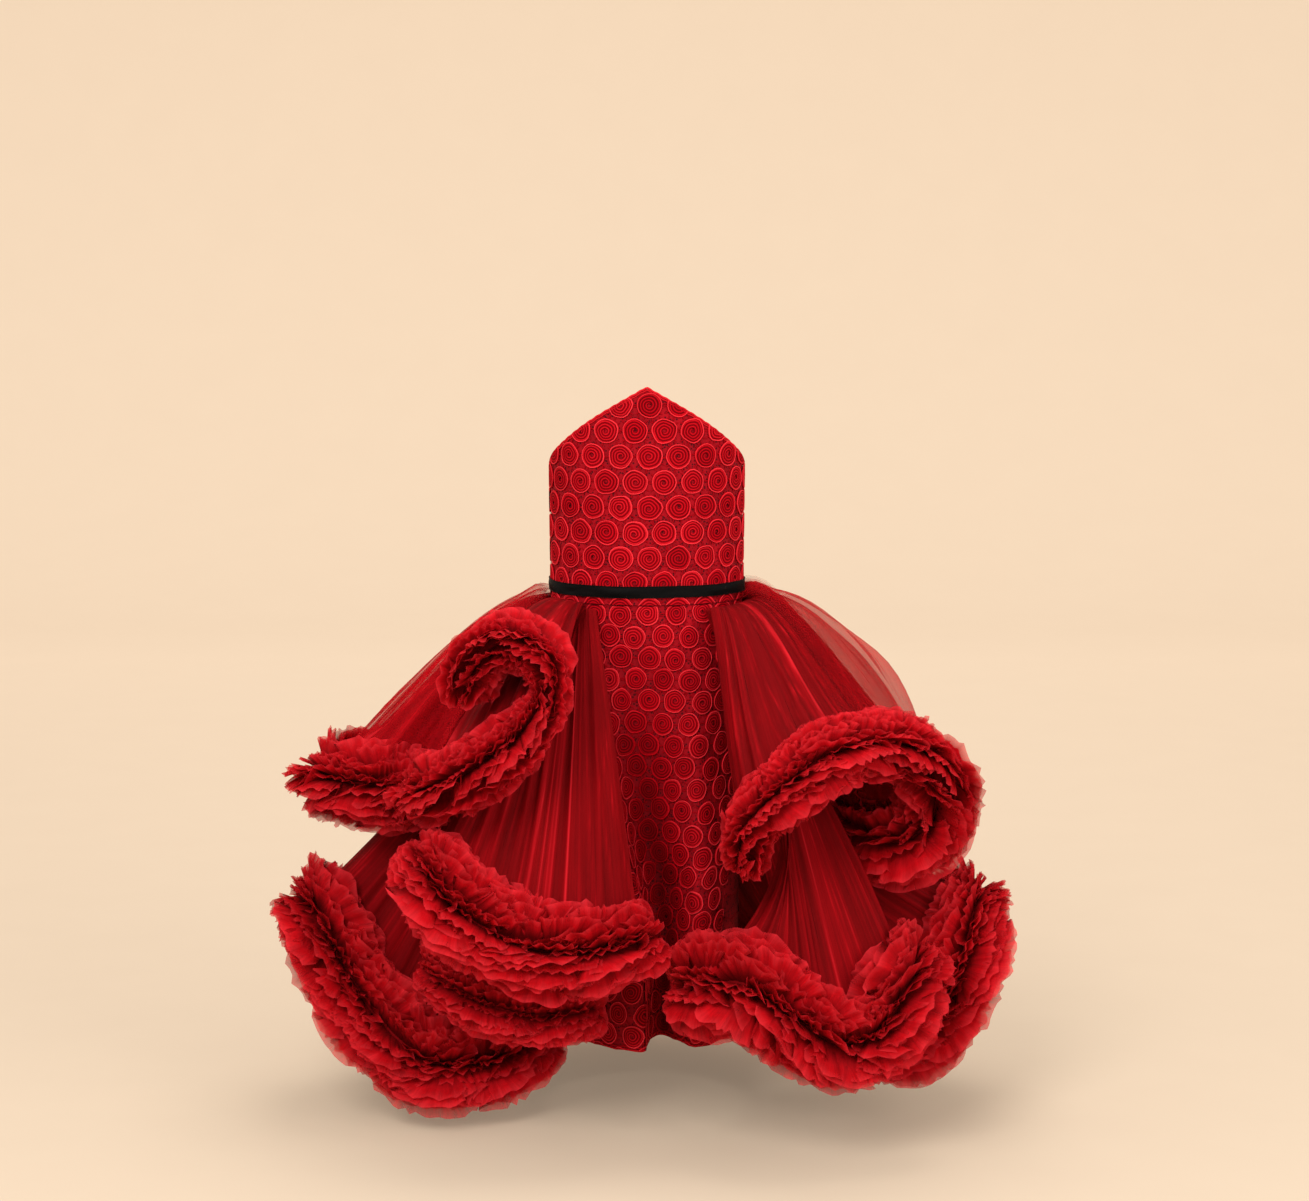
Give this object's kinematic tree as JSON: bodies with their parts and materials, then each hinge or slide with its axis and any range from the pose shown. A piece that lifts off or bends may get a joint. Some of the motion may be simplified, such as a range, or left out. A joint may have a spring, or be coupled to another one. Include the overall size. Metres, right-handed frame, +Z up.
{
  "type": "party dress",
  "caption": "Strapless child's gown: pointed corded-lace bodice, ribbon belt, lace column skirt, and tulle flounces open at the front with thick gathered tulle ruffles.",
  "frame": {"origin": "middle of the waist, at the seam where the bodice meets the skirts", "axes": "+X to the viewer's right, -Y to the front of the dress, +Z up"},
  "size_m": [0.7876, 0.5687, 0.7462],
  "materials": {
    "lace": "matt corded lace",
    "tulle": "sheer net",
    "ribbon": "satin",
    "zip": "satin paint"
  },
  "bodies": {
    "root": {"bodice_front": "lace", "bodice_back_left": "lace", "bodice_back_right": "lace", "belt": "ribbon", "zip_slider": "zip", "skirt_front": "lace", "skirt_back_left": "lace", "skirt_back_right": "lace", "tulle_upper_left_fold": "tulle", "ruffle_upper_left_arch": "tulle", "tulle_upper_left_front": "tulle", "tulle_upper_left_back": "tulle", "ruffle_upper_left_front": "tulle", "ruffle_upper_left_side": "tulle", "ruffle_upper_left_back": "tulle", "tulle_upper_right_front": "tulle", "tulle_upper_right_back": "tulle", "ruffle_upper_right_front": "tulle", "ruffle_upper_right_side": "tulle", "ruffle_upper_right_turn": "tulle", "ruffle_upper_right_back": "tulle", "tulle_middle_left": "tulle", "ruffle_middle_left": "tulle", "tulle_middle_right": "tulle", "ruffle_middle_right": "tulle", "ruffle_middle_right_lobe": "tulle", "tulle_lower_left_front": "tulle", "ruffle_lower_left_front": "tulle", "tulle_lower_left_side": "tulle", "tulle_lower_left_back": "tulle", "ruffle_lower_left_side": "tulle", "ruffle_lower_left_turn": "tulle", "ruffle_lower_left_back": "tulle", "tulle_lower_right_side": "tulle", "tulle_lower_right_back": "tulle", "ruffle_lower_right_side": "tulle", "ruffle_lower_right_turn": "tulle", "ruffle_lower_right_back": "tulle"},
    "zip_pull": {"zip_pull": "zip"}
  },
  "joints": [
    {"name": "zip_pull_hinge", "type": "hinge", "parent": "root", "child": "zip_pull", "pos_m": [0, 0.08336, 0.112], "axis": [1, 0, 0], "range_deg": [0, 150]}
  ]
}
